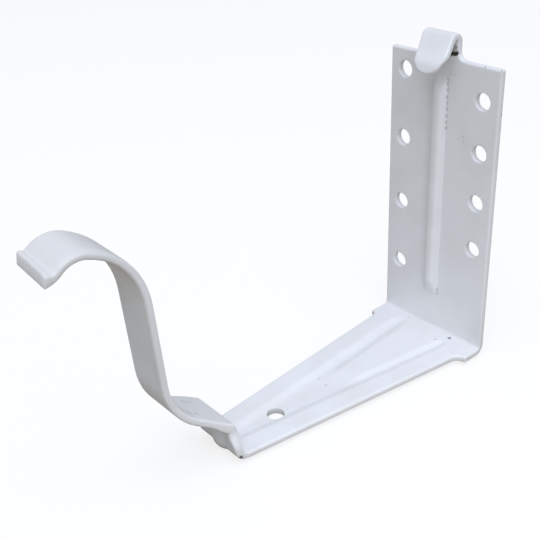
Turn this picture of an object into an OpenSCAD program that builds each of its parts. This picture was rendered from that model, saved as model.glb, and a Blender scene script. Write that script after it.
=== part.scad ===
// Gutter bracket: one blank of sheet steel, pressed into a wall plate, a seat arm and a front strap.
// The wall face is the plane y = 0, the arm runs towards -Y, and the origin is where that face
// starts to bend into the arm, on the centre line.

/* [Sheet] */
// Thickness of the sheet
sheet_t = 2.5; // [2:0.1:3]

/* [Wall plate] */
// Width of the plate
plate_w = 50; // [46:1:60]
// Height of the plate's top edge above the gutter seat
plate_h = 112; // [108:1:130]
// Offset of the hook, bead, arm and strap from the plate's centre line
mid_x = -0.5; // [-1:0.1:1]
// Diameter of the screw holes
screw_d = 6.4; // [5:0.1:7.5]
// Distance of each screw column from the centre line
screw_x = 18; // [16:0.5:19]
// Number of screw holes in each column
screws_per_column = 4; // [2:1:4]
// Drop from the top edge to the first screw of the left column
left_first = 7.8; // [6:0.1:12]
// Pitch of the left column
left_pitch = 26.8; // [18:0.1:27]
// Drop from the top edge to the first screw of the right column
right_first = 12.5; // [8:0.1:20]
// Pitch of the right column
right_pitch = 19.3; // [16:0.1:24]

/* [Plate bead] */
// Radius of the bead's crest
bead_r = 3.3; // [3:0.1:3.6]
// Height of the bead over the plate
bead_rise = 2.6; // [2:0.1:2.8]
// Radius of the hollow behind the bead
bead_hollow_r = 1.6; // [1.2:0.1:1.8]
// Height of the bead's lower end above the gutter seat
bead_low = 17; // [14:1:40]
// Drop from the plate's top edge to the bead's upper end
bead_drop = 7; // [6:1:20]

/* [Hook] */
// Width of the hook's tab
tab_w = 12.2; // [10:0.2:14]
// Fillet between the tab and the plate's top edge
tab_fillet = 3; // [2:0.5:4]
// Height of the hook's bend centre above the plate's top edge
hook_rise = 5.8; // [5:0.1:8]
// Inside radius of the hook's bend
hook_bend_r = 0.8; // [0.5:0.1:1.5]
// Slope of the hook's nose below level
hook_slope = 46; // [35:1:50]
// Length of the nose between the bend and the curl
nose_len = 8.2; // [7:0.1:10]
// Angle by which the nose curls down at its tip
curl_angle = 25; // [10:1:35]
// Inside radius of the curl
curl_r = 4; // [3:0.5:6]
// Length of the nose past the curl
curl_len = 2.6; // [2:0.1:4]

/* [Seat arm] */
// Inside radius of the bend between the plate and the arm
root_bend_r = 3; // [2:0.1:4]
// Inside length of the arm, from the plate to the front wall
arm_len = 107.5; // [100:0.5:130]
// Half width of the arm's taper, carried back to the plate
arm_root_half = 23; // [21:0.1:23.5]
// Half width of the arm at the front wall
arm_front_half = 10.9; // [10:0.1:13]
// Length of the full-width ears beside the bend
ear_len = 8.6; // [7:0.1:12]
// Radius of the notch between each ear and the taper
notch_r = 3.4; // [2.5:0.1:4]
// Diameter of the arm's hole
arm_hole_d = 6.4; // [5:0.1:7]
// Distance of the arm's hole from the plate
arm_hole_at = 83.8; // [80:0.1:88]

/* [Pressed Y] */
// Radius of the two pressed grooves
groove_r = 2.6; // [2.4:0.1:3]
// Depth of the pressing
groove_depth = 1.5; // [1:0.1:1.8]
// Margin between the pressing and the arm's edge
groove_margin = 8.2; // [7.8:0.1:8.6]
// Distance of the grooves' back ends from the plate
groove_from = 6; // [6:0.5:12]
// Depth of the floor between the grooves
floor_depth = 1.3; // [0.8:0.1:1.4]
// Distance of the tongue's tip from the plate
tongue_tip = 56; // [45:1:62]
// Radius of the tongue's tip
tongue_r = 5; // [3.5:0.1:5.5]
// Half width of the channel through the front bend
channel_half = 2.6; // [2:0.1:4]
// Depth of that channel
channel_depth = 0.7; // [0.4:0.1:1.2]

/* [Front strap] */
// Inside radius of the bend between the arm and the front wall
front_bend_r = 2.2; // [1.5:0.1:3]
// Height of the front wall's straight part above the seat
wall_h = 9.6; // [8:0.1:12]
// Radius over the crest between the wall and the shelf
crest_r = 3.5; // [3.2:0.1:4.5]
// Slope of the shelf above level
shelf_slope = 35.5; // [28:0.5:38]
// Length of the shelf's straight part
shelf_len = 16; // [12:0.1:20]
// Radius of the curve from the shelf into the upright
sweep_r = 23; // [18:0.5:26]
// Slope of the upright above level
upright_slope = 86.5; // [84:0.5:89]
// Length of the upright's straight part
upright_len = 30.5; // [24:0.1:36]
// Radius of the first outward curve of the lip
flare_r = 29; // [24:1:36]
// Slope where the flare turns into the lip's crown
flare_slope = 24; // [20:1:40]
// Radius of the lip's crown
crown_r = 11; // [9:0.5:14]
// Slope of the crown's falling side below level
brow_slope = 40; // [25:1:45]
// Radius of the kick at the end
kick_r = 1.6; // [1:0.1:3]
// Length of the kick's straight end
kick_len = 2; // [1.5:0.1:5]
// Amount that the front wall's right edge narrows on its way up
wall_trim = 2.2; // [0.5:0.1:3]
// Half width of the strap
strap_half = 8; // [7:0.1:10]
// Distance from the plate at which the strap reaches that half width
strap_from = 126; // [118:1:130]

/* [Hidden] */
$fn = 64;
arc_step = 7.5;
cut = 1;
seat_z = -root_bend_r;
plate_top = seat_z + plate_h;
front_y = -sheet_t;
reach = arm_len + 90;
depth_below = 3 * sheet_t;
skin = sheet_t / 5;
taper = (arm_root_half - arm_front_half) / arm_len;
notch_at = ear_len + notch_r;
hook_centre = [hook_bend_r, plate_top + hook_rise];
nose_round = nose_len + curl_r * sin(curl_angle) + curl_len * cos(curl_angle) - tab_w / 2;
bead_y = front_y - bead_rise + bead_r;
hollow_y = bead_hollow_r - bead_rise;
groove_lift = groove_r - groove_depth;
groove_half = sqrt(groove_r * groove_r - groove_lift * groove_lift);
groove_to = arm_len - front_bend_r;
tongue_at = tongue_tip - tongue_r;
channel_from = arm_len - 3 * front_bend_r;

// Half width of the tapered arm, and of each groove's centre line, at a distance from the plate.
function arm_half(d) = arm_root_half - taper * d;
function groove_x(d) = arm_half(d) - groove_margin - groove_half;

// Unit vectors along a heading and to the left of it, where the gutter lies.
function along(h) = [cos(h), sin(h)];
function left(h) = [-sin(h), cos(h)];

// Stations of a bend as [point, heading]: turn is positive towards the gutter.
function bend(p, h, turn, r) =
    let (s = sign(turn), n = ceil(abs(turn) / arc_step), c = p + s * r * left(h))
    [for (i = [1:n]) let (a = h + turn * i / n) [c - s * r * left(a), a]];

// Stations along a list of [straight length, turn, gutter-side radius] steps.
function walk(steps, p, h, i = 0) =
    i == len(steps) ? [[p, h]] :
    let (q = p + steps[i][0] * along(h), turned = bend(q, h, steps[i][1], steps[i][2]),
        n = len(turned), last = n > 0 ? turned[n - 1] : [q, h])
    concat([[p, h]], steps[i][0] > 0 && n > 0 ? [[q, h]] : [],
        [for (j = [0:1:n - 2]) turned[j]], walk(steps, last[0], last[1], i + 1));

// The hook's run, from the plate up over its bend, then along the nose to its curled tip. It is
// walked with the gutter on the right, so its turns are negative and its depths too.
hook_run = walk([
    [hook_rise + cut, -90 - hook_slope, hook_bend_r],
    [nose_len, -curl_angle, curl_r],
    [curl_len, 0, curl_r]
], [0, plate_top - cut], 90);

// The sheet's run from the plate's top edge, down, along the arm and up the front to the kick.
front_steps = [
    [plate_h - root_bend_r, 90, root_bend_r],
    [arm_len - root_bend_r - front_bend_r, 90, front_bend_r],
    [wall_h - front_bend_r, shelf_slope - 90, crest_r],
    [shelf_len, upright_slope - shelf_slope, sweep_r],
    [upright_len, flare_slope - upright_slope, flare_r],
    [0, -flare_slope - brow_slope, crown_r],
    [0, brow_slope, kick_r],
    [kick_len, 0, kick_r]
];
front_run = walk(front_steps, [0, plate_top], -90);

// A band of the run's side view between two depths below its gutter side, carried across the
// bracket: in the side view x runs out from the plate's front face and y is up.
module band(run, width, from, to) {
    translate([width / 2, front_y, 0]) rotate([90, 0, -90]) linear_extrude(width)
        polygon(concat([for (s = run) s[0] - from * left(s[1])],
            [for (i = [len(run) - 1:-1:0]) run[i][0] - to * left(run[i][1])]));
}

// Plan of the blank below the hook: tapered arm, narrow strap, and ears with rounded notches.
module blank_plan() {
    difference() {
        translate([0, front_y]) polygon([
            [-plate_w / 2, sheet_t + cut], [-plate_w / 2, -notch_at],
            [mid_x - arm_half(notch_at), -notch_at], [mid_x - arm_front_half, -arm_len],
            [mid_x - strap_half, -strap_from], [mid_x - strap_half, -reach],
            [mid_x + strap_half, -reach], [mid_x + strap_half, -strap_from],
            [mid_x + arm_front_half, -arm_len], [mid_x + arm_half(notch_at), -notch_at],
            [plate_w / 2, -notch_at], [plate_w / 2, sheet_t + cut]]);
        for (side = [-1, 1])
            translate([mid_x + side * (arm_half(notch_at) + notch_r), front_y - notch_at]) circle(notch_r);
    }
}

module blank() {
    difference() {
        intersection() {
            band(front_run, plate_w, 0, sheet_t);
            translate([0, 0, seat_z - depth_below]) linear_extrude(plate_h + 2 * depth_below) blank_plan();
        }
        wall_edge_trim();
    }
}

// Front view of what the right edge loses as the front wall narrows upwards.
module wall_edge_trim() {
    right = mid_x + arm_front_half;
    translate([0, front_y - arm_len + front_bend_r, 0]) rotate([90, 0, 0])
        linear_extrude(strap_from - arm_len)
            polygon([[right, seat_z + front_bend_r], [right - wall_trim, seat_z + wall_h],
                [right - wall_trim, seat_z + 3 * wall_h], [right + depth_below, seat_z + 3 * wall_h],
                [right + depth_below, seat_z + front_bend_r]]);
}

// The hook: a tab with a fillet on each side of its root, and a nose that is round at its tip.
module hook() {
    intersection() {
        band(hook_run, tab_w, 0, -sheet_t);
        translate([0, front_y - hook_centre[0], hook_centre[1]]) rotate([hook_slope, 0, 0])
            translate([0, 0, -hook_rise - 2 * sheet_t]) linear_extrude(hook_rise + 5 * sheet_t) nose_plan();
    }
    for (side = [-1, 1])
        translate([side * tab_w / 2, 0, plate_top]) rotate([90, 0, 0]) tab_fillet_fill(side);
}

// The nose in its own slope, square behind and round at the tip.
module nose_plan() {
    translate([-tab_w / 2, -nose_round]) square([tab_w, nose_round + 3 * sheet_t]);
    translate([0, -nose_round]) circle(tab_w / 2);
}

// Fill of the corner between the tab's side and the plate's top edge, up to a round fillet.
module tab_fillet_fill(side) {
    linear_extrude(sheet_t) difference() {
        translate([side > 0 ? -cut : -tab_fillet, -cut]) square([tab_fillet + cut, tab_fillet + cut]);
        translate([side * tab_fillet, tab_fillet]) circle(tab_fillet);
    }
}

// Upright bar of radius r with faceted round ends, between two heights.
module bar(low, high, r) {
    ends = [for (a = [15:15:75]) r * [cos(a), sin(a)]];
    rotate_extrude() polygon(concat([[0, low - r]],
        [for (i = [4:-1:0]) [ends[i][0], low - ends[i][1]]], [[r, low], [r, high]],
        [for (e = ends) [e[0], high + e[1]]], [[0, high + r]]));
}

// The two grooves of the forked pressing, as round bars lying in the arm.
module fork_bars(grow) {
    run = groove_to - groove_from;
    spread = groove_x(groove_from) - groove_x(groove_to);
    for (side = [-1, 1])
        translate([side * groove_x(groove_to), front_y - groove_to, seat_z + groove_lift])
            rotate([-90, 0, -side * atan(spread / run)]) bar(0, norm([run, spread]), groove_r + grow);
}

// The flat between the grooves in front of the tongue, from a height of low to high.
module fork_floor(low, high, tip_r) {
    translate([0, front_y, seat_z + low]) linear_extrude(high - low) difference() {
        polygon([[-groove_x(tongue_at), -tongue_at], [-groove_x(groove_to), -groove_to],
            [groove_x(groove_to), -groove_to], [groove_x(tongue_at), -tongue_at]]);
        translate([0, -tongue_at]) circle(tip_r);
    }
}

// The channel that carries the pressing through the front bend and up the wall.
module channel(from, to) {
    intersection() {
        band(front_run, 2 * channel_half, from, to);
        translate([-plate_w / 2, front_y - reach, seat_z - depth_below])
            cube([plate_w, reach - channel_from, depth_below + wall_h - crest_r]);
    }
}

// The underside of the pressing, standing out below the arm and in front of the wall.
module forked_ridge() {
    intersection() {
        fork_bars(sheet_t);
        translate([-plate_w / 2, front_y - arm_len, seat_z - depth_below])
            cube([plate_w, arm_len, depth_below - skin]);
    }
    fork_floor(-sheet_t - floor_depth, -skin, tongue_r - sheet_t / 2);
    channel(skin, sheet_t + channel_depth);
}

module forked_pressing() {
    fork_bars(0);
    fork_floor(-floor_depth, cut, tongue_r);
    channel(-skin, channel_depth);
}

// The bead pressed forward along the plate's centre line, before its hollow is cut.
module bead_crest() {
    intersection() {
        translate([0, bead_y, 0]) bar(seat_z + bead_low, plate_top - bead_drop, bead_r);
        translate([-plate_w / 2, front_y - plate_w, seat_z]) cube([plate_w, plate_w + skin, plate_h]);
    }
}

module bead_hollow() {
    translate([0, hollow_y, 0]) bar(seat_z + bead_low, plate_top - bead_drop, bead_hollow_r);
}

// One column of screw holes, counted down from the plate's top edge.
module screw_column(x, first, pitch) {
    for (i = [0:screws_per_column - 1])
        translate([x, front_y - cut, plate_top - first - i * pitch])
            rotate([-90, 0, 0]) cylinder(h = sheet_t + 2 * cut, d = screw_d);
}

module arm_hole() {
    translate([0, front_y - arm_hole_at, seat_z - depth_below])
        cylinder(h = 2 * depth_below, d = arm_hole_d);
}

module bracket() {
    color("whitesmoke") difference() {
        union() {
            blank();
            translate([mid_x, 0, 0]) {
                hook();
                bead_crest();
                forked_ridge();
            }
        }
        translate([mid_x, 0, 0]) {
            bead_hollow();
            forked_pressing();
            arm_hole();
        }
        screw_column(-screw_x, left_first, left_pitch);
        screw_column(screw_x, right_first, right_pitch);
    }
}

bracket();
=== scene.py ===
import bpy
import bmesh
import math
from mathutils import Matrix, Vector


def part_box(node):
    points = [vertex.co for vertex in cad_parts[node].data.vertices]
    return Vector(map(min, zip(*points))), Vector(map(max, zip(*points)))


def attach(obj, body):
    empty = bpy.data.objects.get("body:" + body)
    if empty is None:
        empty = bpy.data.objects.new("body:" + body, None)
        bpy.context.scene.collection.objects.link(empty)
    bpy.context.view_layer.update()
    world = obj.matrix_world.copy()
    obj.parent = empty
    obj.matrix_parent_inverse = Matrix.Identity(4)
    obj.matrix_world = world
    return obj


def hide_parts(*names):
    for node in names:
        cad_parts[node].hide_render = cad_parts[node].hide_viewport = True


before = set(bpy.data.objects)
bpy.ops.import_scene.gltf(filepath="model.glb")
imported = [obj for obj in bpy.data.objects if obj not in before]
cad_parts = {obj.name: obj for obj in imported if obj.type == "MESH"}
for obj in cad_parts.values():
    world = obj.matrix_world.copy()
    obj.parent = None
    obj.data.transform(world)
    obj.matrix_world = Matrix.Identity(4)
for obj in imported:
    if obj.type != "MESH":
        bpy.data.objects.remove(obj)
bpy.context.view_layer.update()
bpy.ops.object.select_all(action="DESELECT")
mm = 0.001
near = 0.01                         # how many mm off a place may be and still count as there
print("stage: frame loaded")


def hexColour(text):  # sRGB hex to the linear colour a shader takes
    parts = [int(text[i:i + 2], 16) / 255 for i in (0, 2, 4)]
    return tuple(c / 12.92 if c <= 0.04045 else ((c + 0.055) / 1.055) ** 2.4 for c in parts) + (1.0,)


def addNode(tree, kind, settings=None, inputs=None):  # one node, its settings, and what feeds each input
    node = tree.nodes.new(kind)
    for name, value in (settings or {}).items():
        setattr(node, name, value)
    for name, value in (inputs or {}).items():
        if isinstance(value, bpy.types.NodeSocket):
            tree.links.new(value, node.inputs[name])
        else:
            node.inputs[name].default_value = value
    return node


def ease(value, low, high):  # 0 below low, 1 above high, smooth between
    t = min(max((value - low) / (high - low), 0.0), 1.0)
    return t * t * (3 - 2 * t)


def spread(low, high, step):  # even places from low to high, about a step apart
    count = max(1, round((high - low) / step))
    return [low + (high - low) * i / count for i in range(count + 1)]


def takeUp(pieces):  # select these alone, with the first one active
    bpy.ops.object.select_all(action="DESELECT")
    for piece in pieces:
        piece.select_set(True)
    bpy.context.view_layer.objects.active = pieces[0]


def pickFaces(piece, test):  # select the faces that pass a test on their middle, in mm, and their normal
    bpy.ops.mesh.select_all(action="DESELECT")
    mesh = bmesh.from_edit_mesh(piece.data)
    for face in mesh.faces:
        face.select_set(bool(test(face.calc_center_median() / mm, face.normal)))
    bmesh.update_edit_mesh(piece.data)


def pickEdges(piece, test):  # select the edges that pass a test on their two ends, in mm
    bpy.ops.mesh.select_all(action="DESELECT")
    mesh = bmesh.from_edit_mesh(piece.data)
    for edge in mesh.edges:
        edge.select_set(bool(test(edge.verts[0].co / mm, edge.verts[1].co / mm)))
    bmesh.update_edit_mesh(piece.data)


def useModifier(piece, kind, settings):  # add a modifier to the active piece and apply it
    modifier = piece.modifiers.new(kind.lower(), kind)
    for name, value in settings.items():
        setattr(modifier, name, value)
    bpy.ops.object.modifier_apply(modifier=modifier.name)


# The blank is drawn flat, x along the run from the nose of the hook to the end of the lip, y across
# the bracket and z up out of the face the gutter sits against. All sizes are in mm.

run = {
    "thickness": 2.5, "midX": -0.5, "plateTop": 109.0, "tabTop": 115.1, "seat": -3.0, "armEnd": 107.5,
    "rootRadius": 1.4, "frontRadius": 2.2,
    "spacing": 1.4, "guideStep": 0.5, "arcStep": 6.0,       # how finely the run is divided: mm, mm, degrees
    "plateStep": 2,                                         # which step below is the tab and plate, from 0
}
run["steps"] = [                    # straight length, turn towards the gutter, radius on its side
    (2.6, 25.0, 4.0),               # curled tip of the nose
    (9.3, 136.0, 0.8),              # nose, then the hook's tight bend
    (run["tabTop"] - run["seat"] - run["rootRadius"], 90.0, run["rootRadius"]),         # tab, plate, root bend
    (run["armEnd"] - run["rootRadius"] - run["frontRadius"], 90.0, run["frontRadius"]), # arm, front bend
    (7.4, -54.5, 3.5),              # wall, then the crest onto the shelf
    (16.0, 51.0, 23.0),             # shelf, sweeping up into the upright
    (30.5, -62.5, 29.0),            # upright, then the lip's flare
    (0.0, -64.0, 11.0),             # crown of the lip
    (0.0, 40.0, 1.6),               # kick
    (1.2, 0.0, 1.0)]


def runStations():  # [length so far, distance from the plate, height] along the run
    nose = sum(step[1] for step in run["steps"][:run["plateStep"]])
    heading, place, length = -90.0 - nose, Vector((0, 0)), 0.0
    found = [(length, place)]
    for index, (straight, turn, radius) in enumerate(run["steps"]):
        if index == run["plateStep"]:
            plateStart = place
        parts = max(1, math.ceil(straight / run["spacing"])) if straight else 0
        ahead = Vector((math.cos(math.radians(heading)), math.sin(math.radians(heading))))
        for i in range(parts):
            place = place + ahead * (straight / parts)
            length += straight / parts
            found.append((length, place))
        if turn:
            count = math.ceil(abs(turn) / run["arcStep"])
            side = 1 if turn > 0 else -1
            left = Vector((-math.sin(math.radians(heading)), math.cos(math.radians(heading))))
            centre = place + left * radius * side
            for i in range(count):
                angle = heading + turn * (i + 1) / count
                left = Vector((-math.sin(math.radians(angle)), math.cos(math.radians(angle))))
                place = centre - left * radius * side
                length += math.radians(abs(turn)) * radius / count
                found.append((length, place))
            heading += turn
    shift = Vector((0, run["tabTop"])) - plateStart
    return [(s, p.x + shift.x, p.y + shift.y) for s, p in found]


stations = runStations()
endAt = stations[-1][0]
tabAt = sum(step[0] + math.radians(step[1]) * step[2] for step in run["steps"][:run["plateStep"]])
plateAt = tabAt + run["tabTop"] - run["plateTop"]
rootAt = tabAt + run["steps"][run["plateStep"]][0]           # the plate starts to bend into the arm
armAt = rootAt + (math.radians(90) - 1) * run["rootRadius"]  # add a distance from the plate to get a length


def placeAt(length):  # distance from the plate and height, interpolated along the run
    for a, b in zip(stations, stations[1:]):
        if a[0] <= length <= b[0]:
            gap = max(b[0] - a[0], 1e-9)
            return [a[k] + (b[k] - a[k]) * (length - a[0]) / gap for k in (1, 2)]
    return stations[-1][1:]


blank = {
    "plateHalf": 25.0, "tabLeft": 7.3, "tabRight": 6.6, "tabFillet": 3.0,
    "tipHalf": 6.6, "tipShift": 1.4, "tipStart": 0.1, "tipStraight": 0.3,
    "hookFullBefore": 1.9,                                  # the hook is as wide as the tab this far before it
    "earLength": 8.6, "notchRadius": 3.4,
    "armRootHalf": 23.0, "armFrontHalf": 10.9, "strapHalf": 8.0, "strapFrom": 129.6,
    "wallTrim": 2.2, "wallFlare": 1.7, "wallHeights": (-0.8, 6.6), "flareEnds": (5.0, 4.0),
    "holeRadius": 3.2, "screwX": 18.0, "armHoleAt": 83.8,
    "leftScrews": [101.2, 74.4, 47.6, 20.8], "rightScrews": [96.5, 77.2, 57.9, 38.6],
    "rimRadius": 0.7, "holeRim": 0.25,
    "filletParts": 6, "notchParts": 7, "tipParts": 14, "rimParts": 3, "holeParts": 48,
    "flatAngle": 0.2,                                       # an edge that turns less than this is dissolved
    "sharpAngle": 50,                                       # and one that turns more than this is rounded
}


def armHalf(distance):  # half the arm's width at a distance from the plate
    return blank["armRootHalf"] - (blank["armRootHalf"] - blank["armFrontHalf"]) / run["armEnd"] * distance


def blankRows():  # [length, left edge, right edge] from the nose to the lip; None marks the plate
    left, right, mid, fillet = blank["tabLeft"], blank["tabRight"], run["midX"], blank["tabFillet"]
    tip = mid + blank["tipShift"]
    rows = [(length, tip - blank["tipHalf"], tip + blank["tipHalf"])
            for length in (blank["tipStart"], blank["tipStraight"] + blank["tipHalf"])]
    rows.append((tabAt - blank["hookFullBefore"], mid - left, mid + right))
    for i in range(blank["filletParts"] + 1):               # fillets at the root of the tab
        a = math.radians(90 * i / blank["filletParts"])
        grow = fillet * (1 - math.cos(a))
        rows.append((plateAt - fillet + fillet * math.sin(a), mid - left - grow, mid + right + grow))
    rows.append(None)
    notch, start = blank["notchRadius"], blank["earLength"] + blank["notchRadius"]
    for i in range(1, blank["notchParts"] + 1):             # notch beside each ear
        a = math.radians(90 * i / blank["notchParts"])
        edge = armHalf(start) + notch - notch * math.sin(a)
        rows.append((armAt + start - notch * math.cos(a), mid - edge, mid + edge))
    bendFrom = run["armEnd"] - run["frontRadius"]
    rows.append((armAt + bendFrom, mid - armHalf(bendFrom), mid + armHalf(bendFrom)))
    slope = (blank["armFrontHalf"] - blank["strapHalf"]) / (blank["strapFrom"] - run["armEnd"])
    flareFrom, flareTo = run["armEnd"] + blank["flareEnds"][0], blank["strapFrom"] - blank["flareEnds"][1]
    for s, d, z in stations:                                # front wall, shelf, upright and lip
        if s > armAt + bendFrom + near:
            narrowed = blank["armFrontHalf"] - slope * (d - run["armEnd"])
            wide = min(blank["armFrontHalf"], max(blank["strapHalf"], narrowed))
            risen = ease(z, *blank["wallHeights"])
            flare = blank["wallFlare"] * risen * (1 - ease(d, flareFrom, flareTo))
            trim = blank["armFrontHalf"] - blank["wallTrim"] * risen
            rows.append((s, mid - wide - flare, mid + min(wide, max(trim, blank["strapHalf"]))))
    return rows


def pullTo(last, row):  # extrude the open end from the last row to the next one and set its width
    shift = ((row[1] + row[2]) - (last[1] + last[2])) / 2
    middle = (row[1] + row[2]) / 2
    bpy.ops.mesh.extrude_region_move(TRANSFORM_OT_translate={
        "value": ((row[0] - last[0]) * mm, shift * mm, 0)})
    bpy.ops.transform.resize(value=(1, (row[2] - row[1]) / (last[2] - last[1]), 1),
                             center_override=(row[0] * mm, middle * mm, 0))
    return row


def drawBlank():  # a thin bar across the tip, pulled out row by row, with the plate's wings on the way
    t = run["thickness"]
    rows = blankRows()
    split = rows.index(None)
    earEnd = armAt + blank["earLength"]
    last = rows[0]
    bpy.ops.mesh.primitive_cube_add(
        size=1, location=(last[0] / 2 * mm, (last[1] + last[2]) / 2 * mm, -t / 2 * mm),
        scale=(last[0] * mm, (last[2] - last[1]) * mm, t * mm))
    piece = bpy.context.object
    piece.name = "pressedBracket"
    bpy.ops.object.transform_apply(location=True, rotation=True, scale=True)
    bpy.ops.object.mode_set(mode="EDIT")
    bpy.ops.mesh.select_mode(type="FACE")
    pickFaces(piece, lambda c, n: n.x > 0.9)
    for row in rows[1:split]:
        last = pullTo(last, row)
    last = pullTo(last, (earEnd, last[1], last[2]))
    for sign, edge in ((-1, last[1]), (1, last[2])):        # the plate's two wings
        pickFaces(piece, lambda c, n: n.y * sign > 0.9 and plateAt < c.x < earEnd)
        reach = blank["plateHalf"] - sign * edge
        bpy.ops.mesh.extrude_region_move(TRANSFORM_OT_translate={"value": (0, sign * reach * mm, 0)})
    pickFaces(piece, lambda c, n: n.x > 0.9 and abs(c.x - earEnd) < near)
    last = (earEnd, -blank["plateHalf"], blank["plateHalf"])
    for row in rows[split + 1:]:
        last = pullTo(last, row)
    bpy.ops.mesh.select_all(action="SELECT")
    bpy.ops.mesh.dissolve_limited(angle_limit=math.radians(blank["flatAngle"]))
    bpy.ops.mesh.select_mode(type="EDGE")
    pickEdges(piece, lambda p, q: max(p.x, q.x) < near and abs(p.z - q.z) > near)   # the tip's two corners
    bpy.ops.mesh.bevel(offset=(blank["tipHalf"] - blank["tipStart"]) * mm, segments=blank["tipParts"],
                       affect="EDGES")
    bpy.ops.object.mode_set(mode="OBJECT")
    return piece


def punchHoles(piece):  # eight screw holes and the arm's hole, then a small round on every edge
    t = run["thickness"]
    places = [(plateAt + run["plateTop"] - z, -blank["screwX"]) for z in blank["leftScrews"]]
    places += [(plateAt + run["plateTop"] - z, blank["screwX"]) for z in blank["rightScrews"]]
    places.append((armAt + blank["armHoleAt"], run["midX"]))
    punches = []
    for x, y in places:
        bpy.ops.mesh.primitive_cylinder_add(vertices=blank["holeParts"], radius=blank["holeRadius"] * mm,
                                            depth=3 * t * mm, location=(x * mm, y * mm, -t / 2 * mm))
        punches.append(bpy.context.object)
    takeUp(punches)
    bpy.ops.object.join()
    punch = bpy.context.object
    bpy.ops.object.transform_apply(location=True, rotation=True, scale=True)
    takeUp([piece])
    useModifier(piece, "BOOLEAN", {"operation": "DIFFERENCE", "object": punch, "solver": "EXACT"})
    bpy.data.objects.remove(punch, do_unlink=True)
    bpy.ops.object.mode_set(mode="EDIT")
    bpy.ops.mesh.select_mode(type="EDGE")
    bpy.ops.mesh.select_all(action="DESELECT")
    bpy.ops.mesh.edges_select_sharp(sharpness=math.radians(blank["sharpAngle"]))
    bpy.ops.transform.edge_bevelweight(value=1.0)
    reach = blank["holeRadius"] + near                      # the holes' edges are crisper than the sheet's
    pickEdges(piece, lambda p, q: abs(p.z - q.z) < near and any(
        max(math.hypot(p.x - x, p.y - y), math.hypot(q.x - x, q.y - y)) < reach for x, y in places))
    bpy.ops.transform.edge_bevelweight(value=blank["holeRim"] / blank["rimRadius"] - 1)
    bpy.ops.object.mode_set(mode="OBJECT")
    useModifier(piece, "BEVEL", {"width": blank["rimRadius"] * mm, "segments": blank["rimParts"],
                                 "limit_method": "WEIGHT", "use_clamp_overlap": False})


bracket = drawBlank()
punchHoles(bracket)
print("stage: blank drawn and punched", len(bracket.data.polygons), "faces")


# The flat sheet is cut finely where it will be pressed or bent, so that the shapes come out smooth.
# Triples are from, to and step: along the run, or out from the middle, or in from the arm's edge.

cuts = {
    "beadEndStep": 0.5, "grooveBack": (2.6, 9.0, 0.5), "tongueTip": (43.0, 60.0, 1.0),
    "channel": (96.0, 105.3, 0.7),
    "plate": (-24.2, 24.2, 1.35), "bead": (-4.9, 3.7, 0.32), "tab": (-8.4, 8.4, 0.85),
    "earsTo": 9.5, "strap": (-10.2, 10.2, 0.85),
    "armInsets": [(1.6, 6.0, 1.5), (6.6, 15.0, 0.42), (16.2, 21.8, 1.4)],
    "armFlat": (4.0, 105.0), "flatGap": 0.2, "bendGap": 0.02,       # rows closer than this are left out
}


def cutPlanes(piece, low, high, planes):  # cut the faces between two lengths by each plane
    for place, normal in planes:
        pickFaces(piece, lambda c, n: low < c.x < high)
        bpy.ops.mesh.bisect(plane_co=[v * mm for v in place], plane_no=normal, threshold=0.000001)


def cutLengths():  # where the run is cut across, with no two cuts too close together
    high, low = (plateAt + run["plateTop"] - z for z in (pressing["beadHigh"], pressing["beadLow"]))
    lengths = [s[0] for s in stations[1:-1]]
    lengths += spread(high, high + pressing["beadEnd"], cuts["beadEndStep"])
    lengths += spread(low - pressing["beadEnd"], low, cuts["beadEndStep"])
    for key in ("grooveBack", "tongueTip", "channel"):
        first, last, step = cuts[key]
        lengths += spread(armAt + first, armAt + last, step)
    kept = []
    for length in sorted(lengths):
        flat = plateAt < length < rootAt or armAt + cuts["armFlat"][0] < length < armAt + cuts["armFlat"][1]
        if not kept or length - kept[-1] > (cuts["flatGap"] if flat else cuts["bendGap"]):
            kept.append(length)
    return kept


def cutSheet(piece):
    bpy.ops.object.mode_set(mode="EDIT")
    bpy.ops.mesh.select_mode(type="FACE")
    cutPlanes(piece, -1, endAt + 1, [((length, 0, 0), (1, 0, 0)) for length in cutLengths()])
    bendAt = armAt + run["armEnd"] - run["frontRadius"]
    overPlate, overBead, overTab, overStrap = (spread(*cuts[key]) for key in ("plate", "bead", "tab", "strap"))
    for low, high, places in (
            (plateAt + near, rootAt, overPlate + [run["midX"] + y for y in overBead]),
            (rootAt, armAt + cuts["earsTo"], overPlate),
            (-1, plateAt, [run["midX"] + y for y in overTab])):
        cutPlanes(piece, low, high, [((0, y, 0), (0, 1, 0)) for y in places])
    taper = (blank["armRootHalf"] - blank["armFrontHalf"]) / run["armEnd"]
    insets = [inset for triple in cuts["armInsets"] for inset in spread(*triple)]
    for side in (-1, 1):                                    # along the arm, in line with its tapering edges
        planes = [((armAt, run["midX"] + side * (blank["armRootHalf"] - inset), 0), (side * taper, 1, 0))
                  for inset in insets]
        cutPlanes(piece, armAt + cuts["grooveBack"][0], bendAt, planes)
    cutPlanes(piece, bendAt, endAt + 1, [((0, run["midX"] + y, 0), (0, 1, 0)) for y in overStrap])
    bpy.ops.object.mode_set(mode="OBJECT")


# What is pressed into the sheet. Pairs say where something starts and where it is full or gone.

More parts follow.
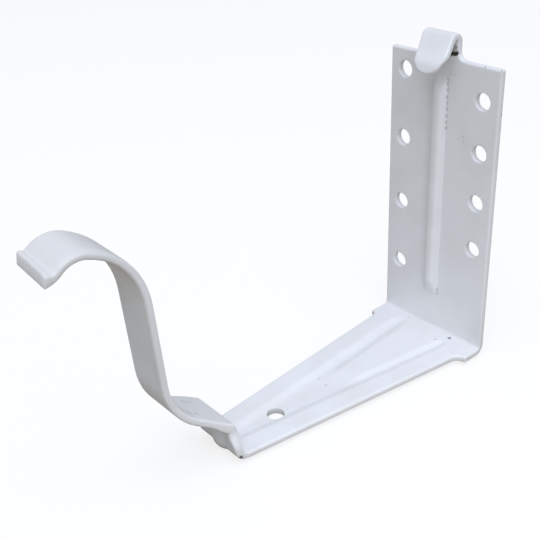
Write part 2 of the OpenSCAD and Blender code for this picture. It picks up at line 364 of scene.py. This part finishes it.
pressing = {
    "beadRise": 2.7, "beadHigh": 103.5, "beadLow": 10.5, "beadRight": 3.0, "beadLeft": 4.0, "beadEnd": 9.0,
    "beadPower": 2.7, "footSoftness": 0.25, "footFrom": 0.75, "beadInside": 1.2,
    "margin": 7.2, "slopeWidth": 4.0, "grooveWidth": 5.6, "grooveDepth": 1.3, "floorDepth": 1.2,
    "channelDepth": 1.0, "grooveOutside": 0.8, "grooveStart": (2.6, 9.5),
    "tongueEnd": (46.0, 56.0), "tongueShift": 1.1, "tongueSlope": 3.6, "tongueRound": 0.2,
    "floorFrom": (50, 60), "channelFrom": (94, 105), "wallFade": (1.5, 6.0), "forkReach": (2.0, 36.0),
    "edgeSag": 1.1, "edgeSagAt": 10.0, "edgeSagSpan": 12.0, "edgeSagFull": 0.2, "edgeSagAcross": (3.5, 7.5),
    "noseDome": 1.1, "noseFade": (3, 9), "lipTwist": 1.6, "crownBefore": 30.0, "kickBefore": 2.3,
    "topSwell": 0.65, "underSwell": 1.0, "swellFullBefore": 0.3, "endRake": 1.0, "rakeBefore": (1.0, 0.6),
    "edgeRoll": 0.5, "edgeRollAcross": (5.6, 8.0), "edgeRollStart": (4.0, 6.0),
}


def beadHeight(u, height, narrow):  # rise of the bead at u across it; its ends fade into the plate
    end = pressing["beadEnd"]
    ends = max(0.0, height - pressing["beadHigh"] + end, pressing["beadLow"] + end - height) / end
    foot = (pressing["beadRight"] if u > 0 else pressing["beadLeft"]) - narrow
    t = abs(u) / foot
    if t >= 1:
        return 0.0
    soft = 1 - pressing["footSoftness"] * ease(t, pressing["footFrom"], 1)
    return pressing["beadRise"] * (1 - t ** pressing["beadPower"]) * soft * (1 - ease(ends, 0, 1))


def forkDepth(distance, height, offCentre, wider):  # depth of the forked pressing in the arm
    inset = armHalf(min(distance, run["armEnd"])) - abs(offCentre)
    low = pressing["margin"] - wider
    inside = ease(inset, low, low + pressing["slopeWidth"])
    shoulder = armHalf(distance) - pressing["margin"] - pressing["grooveWidth"] - pressing["tongueShift"]
    reach = abs(offCentre - pressing["tongueShift"])
    tongue = ease(shoulder - reach, wider - pressing["tongueSlope"], pressing["tongueRound"] + wider)
    tongue *= 1 - ease(distance, *pressing["tongueEnd"])
    depth = pressing["grooveDepth"]
    depth += (pressing["floorDepth"] - depth) * ease(distance, *pressing["floorFrom"])
    depth += (pressing["channelDepth"] - depth) * ease(distance, *pressing["channelFrom"])
    started = ease(distance, *pressing["grooveStart"])
    return depth * inside * (1 - tongue) * started * (1 - ease(height, *pressing["wallFade"]))


def pressBlank(piece):
    kickAt, crownAt = endAt - pressing["kickBefore"], endAt - pressing["crownBefore"]
    forkFrom, forkTo = armAt + pressing["forkReach"][0], armAt + run["armEnd"] + pressing["forkReach"][1]
    shelfAt = armAt + run["armEnd"] + pressing["edgeSagAt"]
    rollFrom, rollFull = crownAt - pressing["edgeRollStart"][0], crownAt + pressing["edgeRollStart"][1]
    rakeFrom, rakeFull = (endAt - before for before in pressing["rakeBefore"])
    swellFull = endAt - pressing["swellFullBefore"]
    for vertex in piece.data.vertices:
        length, y, z = vertex.co / mm
        offCentre = y - run["midX"]
        back = z < -run["thickness"] / 2
        lift = 0.0
        if plateAt < length < rootAt:
            narrow = pressing["beadInside"] if back else 0.0
            lift += beadHeight(offCentre, plateAt + run["plateTop"] - length, narrow)
        elif forkFrom < length < forkTo:
            distance, height = placeAt(length)
            lift -= forkDepth(distance, max(height, 0.0), offCentre, pressing["grooveOutside"] if back else 0.0)
            if back:                                        # the shelf's right edge stands fuller below
                away = abs(length - shelfAt) / pressing["edgeSagSpan"]
                across = ease(offCentre, *pressing["edgeSagAcross"])
                lift -= pressing["edgeSag"] * (1 - ease(away, pressing["edgeSagFull"], 1)) * across
        elif length < pressing["noseFade"][1] and not back:     # the nose's tip is drawn down into a dome
            across = (offCentre - blank["tipShift"]) / blank["tipHalf"]
            lift -= pressing["noseDome"] * across ** 2 * (1 - ease(length, *pressing["noseFade"]))
        elif length > crownAt:                              # the lip leans towards its right edge and swells
            lean = ease(length, crownAt, kickAt) * (offCentre / blank["strapHalf"] + 1) / 2
            swell = pressing["underSwell"] if back else -pressing["topSwell"]
            lift -= pressing["lipTwist"] * lean + swell * ease(length, kickAt, swellFull)
            rake = pressing["endRake"] * ease(length, rakeFrom, rakeFull)
            vertex.co.x -= rake * z / run["thickness"] * mm
        if length > rollFrom and not back:                  # the lip's right edge is rolled over a little
            across = ease(offCentre, *pressing["edgeRollAcross"])
            lift -= pressing["edgeRoll"] * across * ease(length, rollFrom, rollFull)
        vertex.co.z += lift * mm


def foldBlank(piece):  # bend the flat blank along its run with a guide curve
    guide = bpy.data.curves.new("sideView", "CURVE")
    guide.dimensions = "2D"
    line = guide.splines.new("POLY")
    points = []
    for a, b in zip(stations, stations[1:]):
        count = max(1, math.ceil((b[0] - a[0]) / run["guideStep"]))
        points += [(a[1] + (b[1] - a[1]) * i / count, a[2] + (b[2] - a[2]) * i / count) for i in range(count)]
    points.append(stations[-1][1:])
    line.points.add(len(points) - 1)
    for point, (d, z) in zip(line.points, points):
        point.co = ((-d - run["thickness"]) * mm, z * mm, 0, 1)
    guideObject = bpy.data.objects.new("sideView", guide)
    bpy.context.scene.collection.objects.link(guideObject)
    piece.rotation_euler = (math.radians(90), 0, 0)
    bpy.ops.object.transform_apply(location=False, rotation=True, scale=False)
    useModifier(piece, "CURVE", {"object": guideObject, "deform_axis": "POS_X"})
    piece.matrix_world = Matrix(((0, 0, 1, 0), (1, 0, 0, 0), (0, 1, 0, 0), (0, 0, 0, 1)))  # x, y, z to y, z, x
    bpy.ops.object.transform_apply(location=True, rotation=True, scale=True)
    bpy.data.objects.remove(guideObject, do_unlink=True)


cutSheet(bracket)
print("stage: cuts made", len(bracket.data.polygons), "faces")
pressBlank(bracket)
foldBlank(bracket)
print("stage: pressed and folded", len(bracket.data.polygons), "faces")


coat = {
    "white": "E9E9E9", "cloudSize": 14.0, "cloudRange": (0.45, 0.75), "cloudMost": 0.5,
    "dullAndShade": "DCDBD8", "scuff": "8A8B92", "bare": "3A3B3D", "olive": "2B2B20",
    "peelWave": 1.6, "peelHeight": 0.02, "filmDepth": 0.08,
    "roughness": 0.36, "bareRougher": 0.25, "dullRougher": 0.12,
    "raggedSize": 0.9, "ragged": 0.55,
    # each mark: x, y, z and radius in mm, then how far the colour goes towards the mark's own
    "chips": [
        (10.4, -111.1, -3.6, 0.8, 0.9), (8.8, -112.4, -0.2, 0.4, 0.7), (9.3, -112.0, -1.9, 0.35, 0.5),
        (9.0, -111.0, 0.6, 0.3, 0.5), (7.7, -128.7, 18.85, 0.55, 0.75),
        (8.0, -125.9, 16.5, 0.55, 0.75), (8.2, -123.8, 16.9, 0.22, 0.3), (8.2, -122.9, 16.4, 0.22, 0.3),
        (11.8, -4.6, -2.9, 0.7, 0.8), (8.7, -9.3, -3.0, 0.35, 0.55), (-10.2, -4.3, -2.8, 0.5, 0.25),
        (-5.2, -60.5, -4.3, 0.5, 0.22), (-0.5, -61.1, -4.3, 0.4, 0.35), (0.5, -81.5, -4.2, 0.3, 0.2),
        (3.5, -2.6, 103.2, 0.35, 0.2), (5.3, -2.5, 103.6, 0.35, 0.2), (10.7, -2.5, 81.9, 0.42, 0.3),
        (10.8, -2.5, 80.0, 0.36, 0.22), (25.0, -0.5, 93.3, 0.5, 0.5), (25.0, -0.4, 69.0, 0.35, 0.4),
        (25.0, -0.3, 43.8, 0.5, 0.5), (24.9, -0.1, 29.3, 0.45, 0.45), (17.8, -2.3, 108.9, 0.4, 0.35),
        (24.6, -2.2, 108.9, 0.45, 0.4), (-24.8, -5.8, -3.6, 0.6, 0.4),
        (24.6, -8.9, -4.4, 0.5, 0.5), (-1.1, -150.7, 90.2, 0.5, 0.25), (0.1, -162.3, 91.2, 0.45, 0.2)],
    "rubs": [(-6.0, -121.2, 16.4, 1.5, 0.28), (-6.5, -118.9, 14.8, 1.3, 0.22), (2.6, -127.4, 21.3, 1.3, 0.28),
             (3.4, -125.2, 19.3, 1.4, 0.3), (3.2, -122.4, 17.3, 1.2, 0.3)],
    # the lip's crown and the nose's top, darkened in colour: painted shade, joined with the dull clouds
    "dullCloudsAndShade": [(0.0, -156.0, 90.0, 20.0, 0.9), (0.0, -6.0, 116.0, 7.0, 0.5)],
    # short upright dashes along the foot of the bead: x, z; their y, shape and strength are shared
    "dashes": [(2.35, 101.6), (2.4, 99.8), (2.45, 97.6), (2.5, 95.0), (2.5, 92.8), (2.52, 90.5), (2.52, 87.9),
               (2.55, 85.6), (2.55, 83.3), (2.6, 15.3), (2.6, 13.4)],
    "dashY": -2.6, "dashSquash": 0.4, "dashFull": 0.22, "dashGone": 0.48, "dashStrength": 0.36,
    # the dark patch on the tab inside the hook, from overlapping spots: x, z and strength. The full spots
    # low down are bare steel; the fainter ones above are painted shade in the gap under the hook.
    "bareAndShadePatch": [(2.2, 110.7, 1.0), (3.4, 110.9, 1.0), (4.5, 111.1, 1.0), (5.4, 111.3, 1.0), (4.0, 112.1, 0.5),
              (5.0, 112.3, 0.35), (4.8, 113.4, 0.5)],
    "patchY": -2.5, "patchFull": 0.6, "patchGone": 1.14,
    # how far out a mark keeps its full strength, and where it is gone, as shares of its radius
    "chipEdge": (0.7, 1.4), "rubEdge": (0.4, 1.2), "shadeSpotEdge": (0.6, 1.2),
}


def coatSpots(place, ragged, tall):  # each is: measured where, its middle, full to, gone by, strength
    spots = {}
    for name, edge, where in (("dullCloudsAndShade", "shadeSpotEdge", place), ("rubs", "rubEdge", ragged),
                              ("chips", "chipEdge", ragged)):
        full, gone = coat[edge]
        spots[name] = [(where, (x, y, z), radius * full, radius * gone, strength)
                       for x, y, z, radius, strength in coat[name]]
    spots["chips"] += [(tall, (x, coat["dashY"], z * coat["dashSquash"]), coat["dashFull"], coat["dashGone"],
                        coat["dashStrength"]) for x, z in coat["dashes"]]
    spots["bareAndShadePatch"] = [(ragged, (x, coat["patchY"], z), coat["patchFull"], coat["patchGone"], strength)
                      for x, z, strength in coat["bareAndShadePatch"]]
    return spots


def whitePowderCoat():
    # Polyester powder coat, sprayed and baked on pressed steel: satin white with a faint orange peel, a
    # little duller in clouds, chipped to the dark steel at corners, edges and along the foot of the bead.
    # It also carries painted shade: the lip's crown and the nose's top are darkened, and so is the gap
    # under the hook above the bare patch on the tab.
    material = bpy.data.materials.new("whitePowderCoat")
    material.use_nodes = True
    tree = material.node_tree
    tree.nodes.clear()
    place = addNode(tree, "ShaderNodeTexCoord").outputs["Object"]

    # Ragged outlines: the place is pushed about by fine noise before a distance is taken.
    noise = addNode(tree, "ShaderNodeTexNoise", {}, {
        "Vector": place, "Scale": 1 / (coat["raggedSize"] * mm), "Detail": 3.0}).outputs["Color"]
    push = addNode(tree, "ShaderNodeVectorMath", {"operation": "SUBTRACT"}, {
        0: noise, 1: (0.5, 0.5, 0.5)}).outputs[0]
    ragged = addNode(tree, "ShaderNodeVectorMath", {"operation": "MULTIPLY_ADD"}, {
        0: push, 1: [2 * coat["ragged"] * mm] * 3, 2: place}).outputs[0]
    tall = addNode(tree, "ShaderNodeVectorMath", {"operation": "MULTIPLY"}, {
        0: ragged, 1: (1.0, 1.0, coat["dashSquash"])}).outputs[0]

    cloud = addNode(tree, "ShaderNodeTexNoise", {}, {
        "Vector": place, "Scale": 1 / (coat["cloudSize"] * mm), "Detail": 3.0}).outputs["Fac"]
    clouds = addNode(tree, "ShaderNodeMapRange", {}, {
        "Value": cloud, "From Min": coat["cloudRange"][0], "From Max": coat["cloudRange"][1],
        "To Min": 0.0, "To Max": coat["cloudMost"]}).outputs[0]
    # the dull clouds and the painted shade spots on the lip and nose share this mask
    masks = {"dullCloudsAndShade": clouds}
    for name, marks in coatSpots(place, ragged, tall).items():
        for where, centre, full, gone, strength in marks:
            away = addNode(tree, "ShaderNodeVectorMath", {"operation": "DISTANCE"}, {
                0: where, 1: [v * mm for v in centre]}).outputs["Value"]
            mask = addNode(tree, "ShaderNodeMapRange", {}, {
                "Value": away, "From Min": full * mm, "From Max": gone * mm,
                "To Min": strength, "To Max": 0.0}).outputs[0]
            if name in masks:
                mask = addNode(tree, "ShaderNodeMath", {"operation": "MAXIMUM"}, {
                    0: masks[name], 1: mask}).outputs[0]
            masks[name] = mask
    colour = hexColour(coat["white"])
    # mixed in turn: dull clouds with painted shade on the lip and nose, scuffs, bare chips, then the hook's
    # patch of bare steel and painted shade
    for tint, name in (("dullAndShade", "dullCloudsAndShade"), ("scuff", "rubs"), ("bare", "chips"), ("olive", "bareAndShadePatch")):
        colour = addNode(tree, "ShaderNodeMix", {"data_type": "RGBA"}, {        # 6 and 7 are its two colours
            0: masks[name], 6: colour, 7: hexColour(coat[tint])}).outputs[2]

    peel = addNode(tree, "ShaderNodeTexNoise", {}, {
        "Vector": place, "Scale": 1 / (coat["peelWave"] * mm), "Detail": 2.0}).outputs["Fac"]
    # where the paint is off, plus the painted shade in the hook's gap, which gets the same dip and roughness
    bareAndShade = addNode(tree, "ShaderNodeMath", {"operation": "MAXIMUM"}, {
        0: masks["chips"], 1: masks["bareAndShadePatch"]}).outputs[0]
    skin = addNode(tree, "ShaderNodeMath", {"operation": "MULTIPLY"}, {
        0: peel, 1: coat["peelHeight"]}).outputs[0]
    height = addNode(tree, "ShaderNodeMath", {"operation": "MULTIPLY_ADD"}, {
        0: bareAndShade, 1: -coat["filmDepth"], 2: skin}).outputs[0]
    bump = addNode(tree, "ShaderNodeBump", {}, {"Height": height, "Distance": mm}).outputs["Normal"]
    rough = addNode(tree, "ShaderNodeMath", {"operation": "MULTIPLY_ADD"}, {
        0: bareAndShade, 1: coat["bareRougher"], 2: coat["roughness"]}).outputs[0]
    rough = addNode(tree, "ShaderNodeMath", {"operation": "MULTIPLY_ADD"}, {
        0: clouds, 1: coat["dullRougher"], 2: rough}).outputs[0]
    shader = addNode(tree, "ShaderNodeBsdfPrincipled", {}, {
        "Base Color": colour, "Roughness": rough, "IOR": 1.5, "Normal": bump}).outputs["BSDF"]
    addNode(tree, "ShaderNodeOutputMaterial", {}, {"Surface": shader})
    return material


bpy.ops.object.shade_smooth()
bracket.data.materials.clear()
bracket.data.materials.append(whitePowderCoat())
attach(bracket, "root")
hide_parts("bracket")
print("stage: finish applied")


# The floor, the lights and the camera. A large softbox hangs high to the right, a small low card lights
# the near edge of the arm, and the sky is pale and even. All is in mm, but floorSize and clipStart in m.

studio = {
    "floor": "A0998B", "floorSize": 40, "floorSeen": "FFFFFF", "floorGlow": 0.78,
    "sky": "EFF5FF", "skyStrength": 0.56, "skySeen": 0.45,  # skySeen is added where the sky itself shows
    "boxPlace": (570, -470, 1475), "boxAim": (0, -60, 40), "boxSize": 1500,
    "boxPower": 20.9, "boxTint": (0.8, 0.85, 0.985),
    "cardPlace": (130, -75, 18), "cardAim": (15, -60, 4), "cardSize": 44,
    "cardPower": 0.026, "cardTint": (0.92, 0.94, 1.0),
    "cameraPlace": (203.78, -250.36, 200.35), "azimuth": 51.13, "elevation": 28.95, "roll": -2.79,
    "lens": 60.24, "sensor": 36, "clipStart": 0.01,
}


def paleFloor():  # matt white board: it looks near white, and throws less light back up than it shows
    material = bpy.data.materials.new("paleFloor")
    material.use_nodes = True
    tree = material.node_tree
    tree.nodes.clear()
    board = addNode(tree, "ShaderNodeBsdfDiffuse", {}, {"Color": hexColour(studio["floor"])})
    seen = addNode(tree, "ShaderNodeBsdfDiffuse", {}, {"Color": hexColour(studio["floorSeen"])})
    glow = addNode(tree, "ShaderNodeEmission", {}, {"Color": hexColour(studio["floorSeen"]), "Strength": 1.0})
    pale = addNode(tree, "ShaderNodeMixShader", {}, {
        0: studio["floorGlow"], 1: seen.outputs[0], 2: glow.outputs[0]})
    path = addNode(tree, "ShaderNodeLightPath")
    both = addNode(tree, "ShaderNodeMixShader", {}, {
        0: path.outputs["Is Camera Ray"], 1: board.outputs[0], 2: pale.outputs[0]})
    addNode(tree, "ShaderNodeOutputMaterial", {}, {"Surface": both.outputs[0]})
    return material


bpy.ops.mesh.primitive_plane_add(size=studio["floorSize"], location=(0, 0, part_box("bracket")[0][2]))
floor = bpy.context.object
floor.name = "floor"
floor.data.materials.append(paleFloor())

world = bpy.data.worlds.new("studioSky")
world.use_nodes = True
world.node_tree.nodes.clear()
path = addNode(world.node_tree, "ShaderNodeLightPath").outputs["Is Camera Ray"]
strength = addNode(world.node_tree, "ShaderNodeMath", {"operation": "MULTIPLY_ADD"}, {
    0: path, 1: studio["skySeen"], 2: studio["skyStrength"]}).outputs[0]
sky = addNode(world.node_tree, "ShaderNodeBackground", {}, {
    "Color": hexColour(studio["sky"]), "Strength": strength})
addNode(world.node_tree, "ShaderNodeOutputWorld", {}, {"Surface": sky.outputs[0]})
bpy.context.scene.world = world
bpy.context.scene.view_settings.view_transform = "Standard"

for name, key in (("overheadSoftbox", "box"), ("lowFillCard", "card")):
    bpy.ops.object.light_add(type="AREA", location=[v * mm for v in studio[key + "Place"]])
    light = bpy.context.object
    light.name = name
    light.data.size = studio[key + "Size"] * mm
    light.data.energy = studio[key + "Power"]
    light.data.color = studio[key + "Tint"]
    light.visible_camera = False
    aim = Vector(studio[key + "Place"]) - Vector(studio[key + "Aim"])
    light.rotation_euler = aim.to_track_quat("Z", "Y").to_euler()

a, e, r = (math.radians(studio[key]) for key in ("azimuth", "elevation", "roll"))
back = Vector((math.sin(a) * math.cos(e), -math.cos(a) * math.cos(e), math.sin(e)))     # away from the part
right = Vector((math.cos(a), math.sin(a), 0))
up = back.cross(right)
turned = (right * math.cos(r) + up * math.sin(r), up * math.cos(r) - right * math.sin(r), back)
bpy.ops.object.camera_add(location=[v * mm for v in studio["cameraPlace"]])
camera = bpy.context.object
camera.rotation_euler = Matrix(turned).transposed().to_euler()
camera.data.lens = studio["lens"]
camera.data.sensor_width = studio["sensor"]
camera.data.clip_start = studio["clipStart"]
bpy.context.scene.camera = camera
print("stage: studio set")
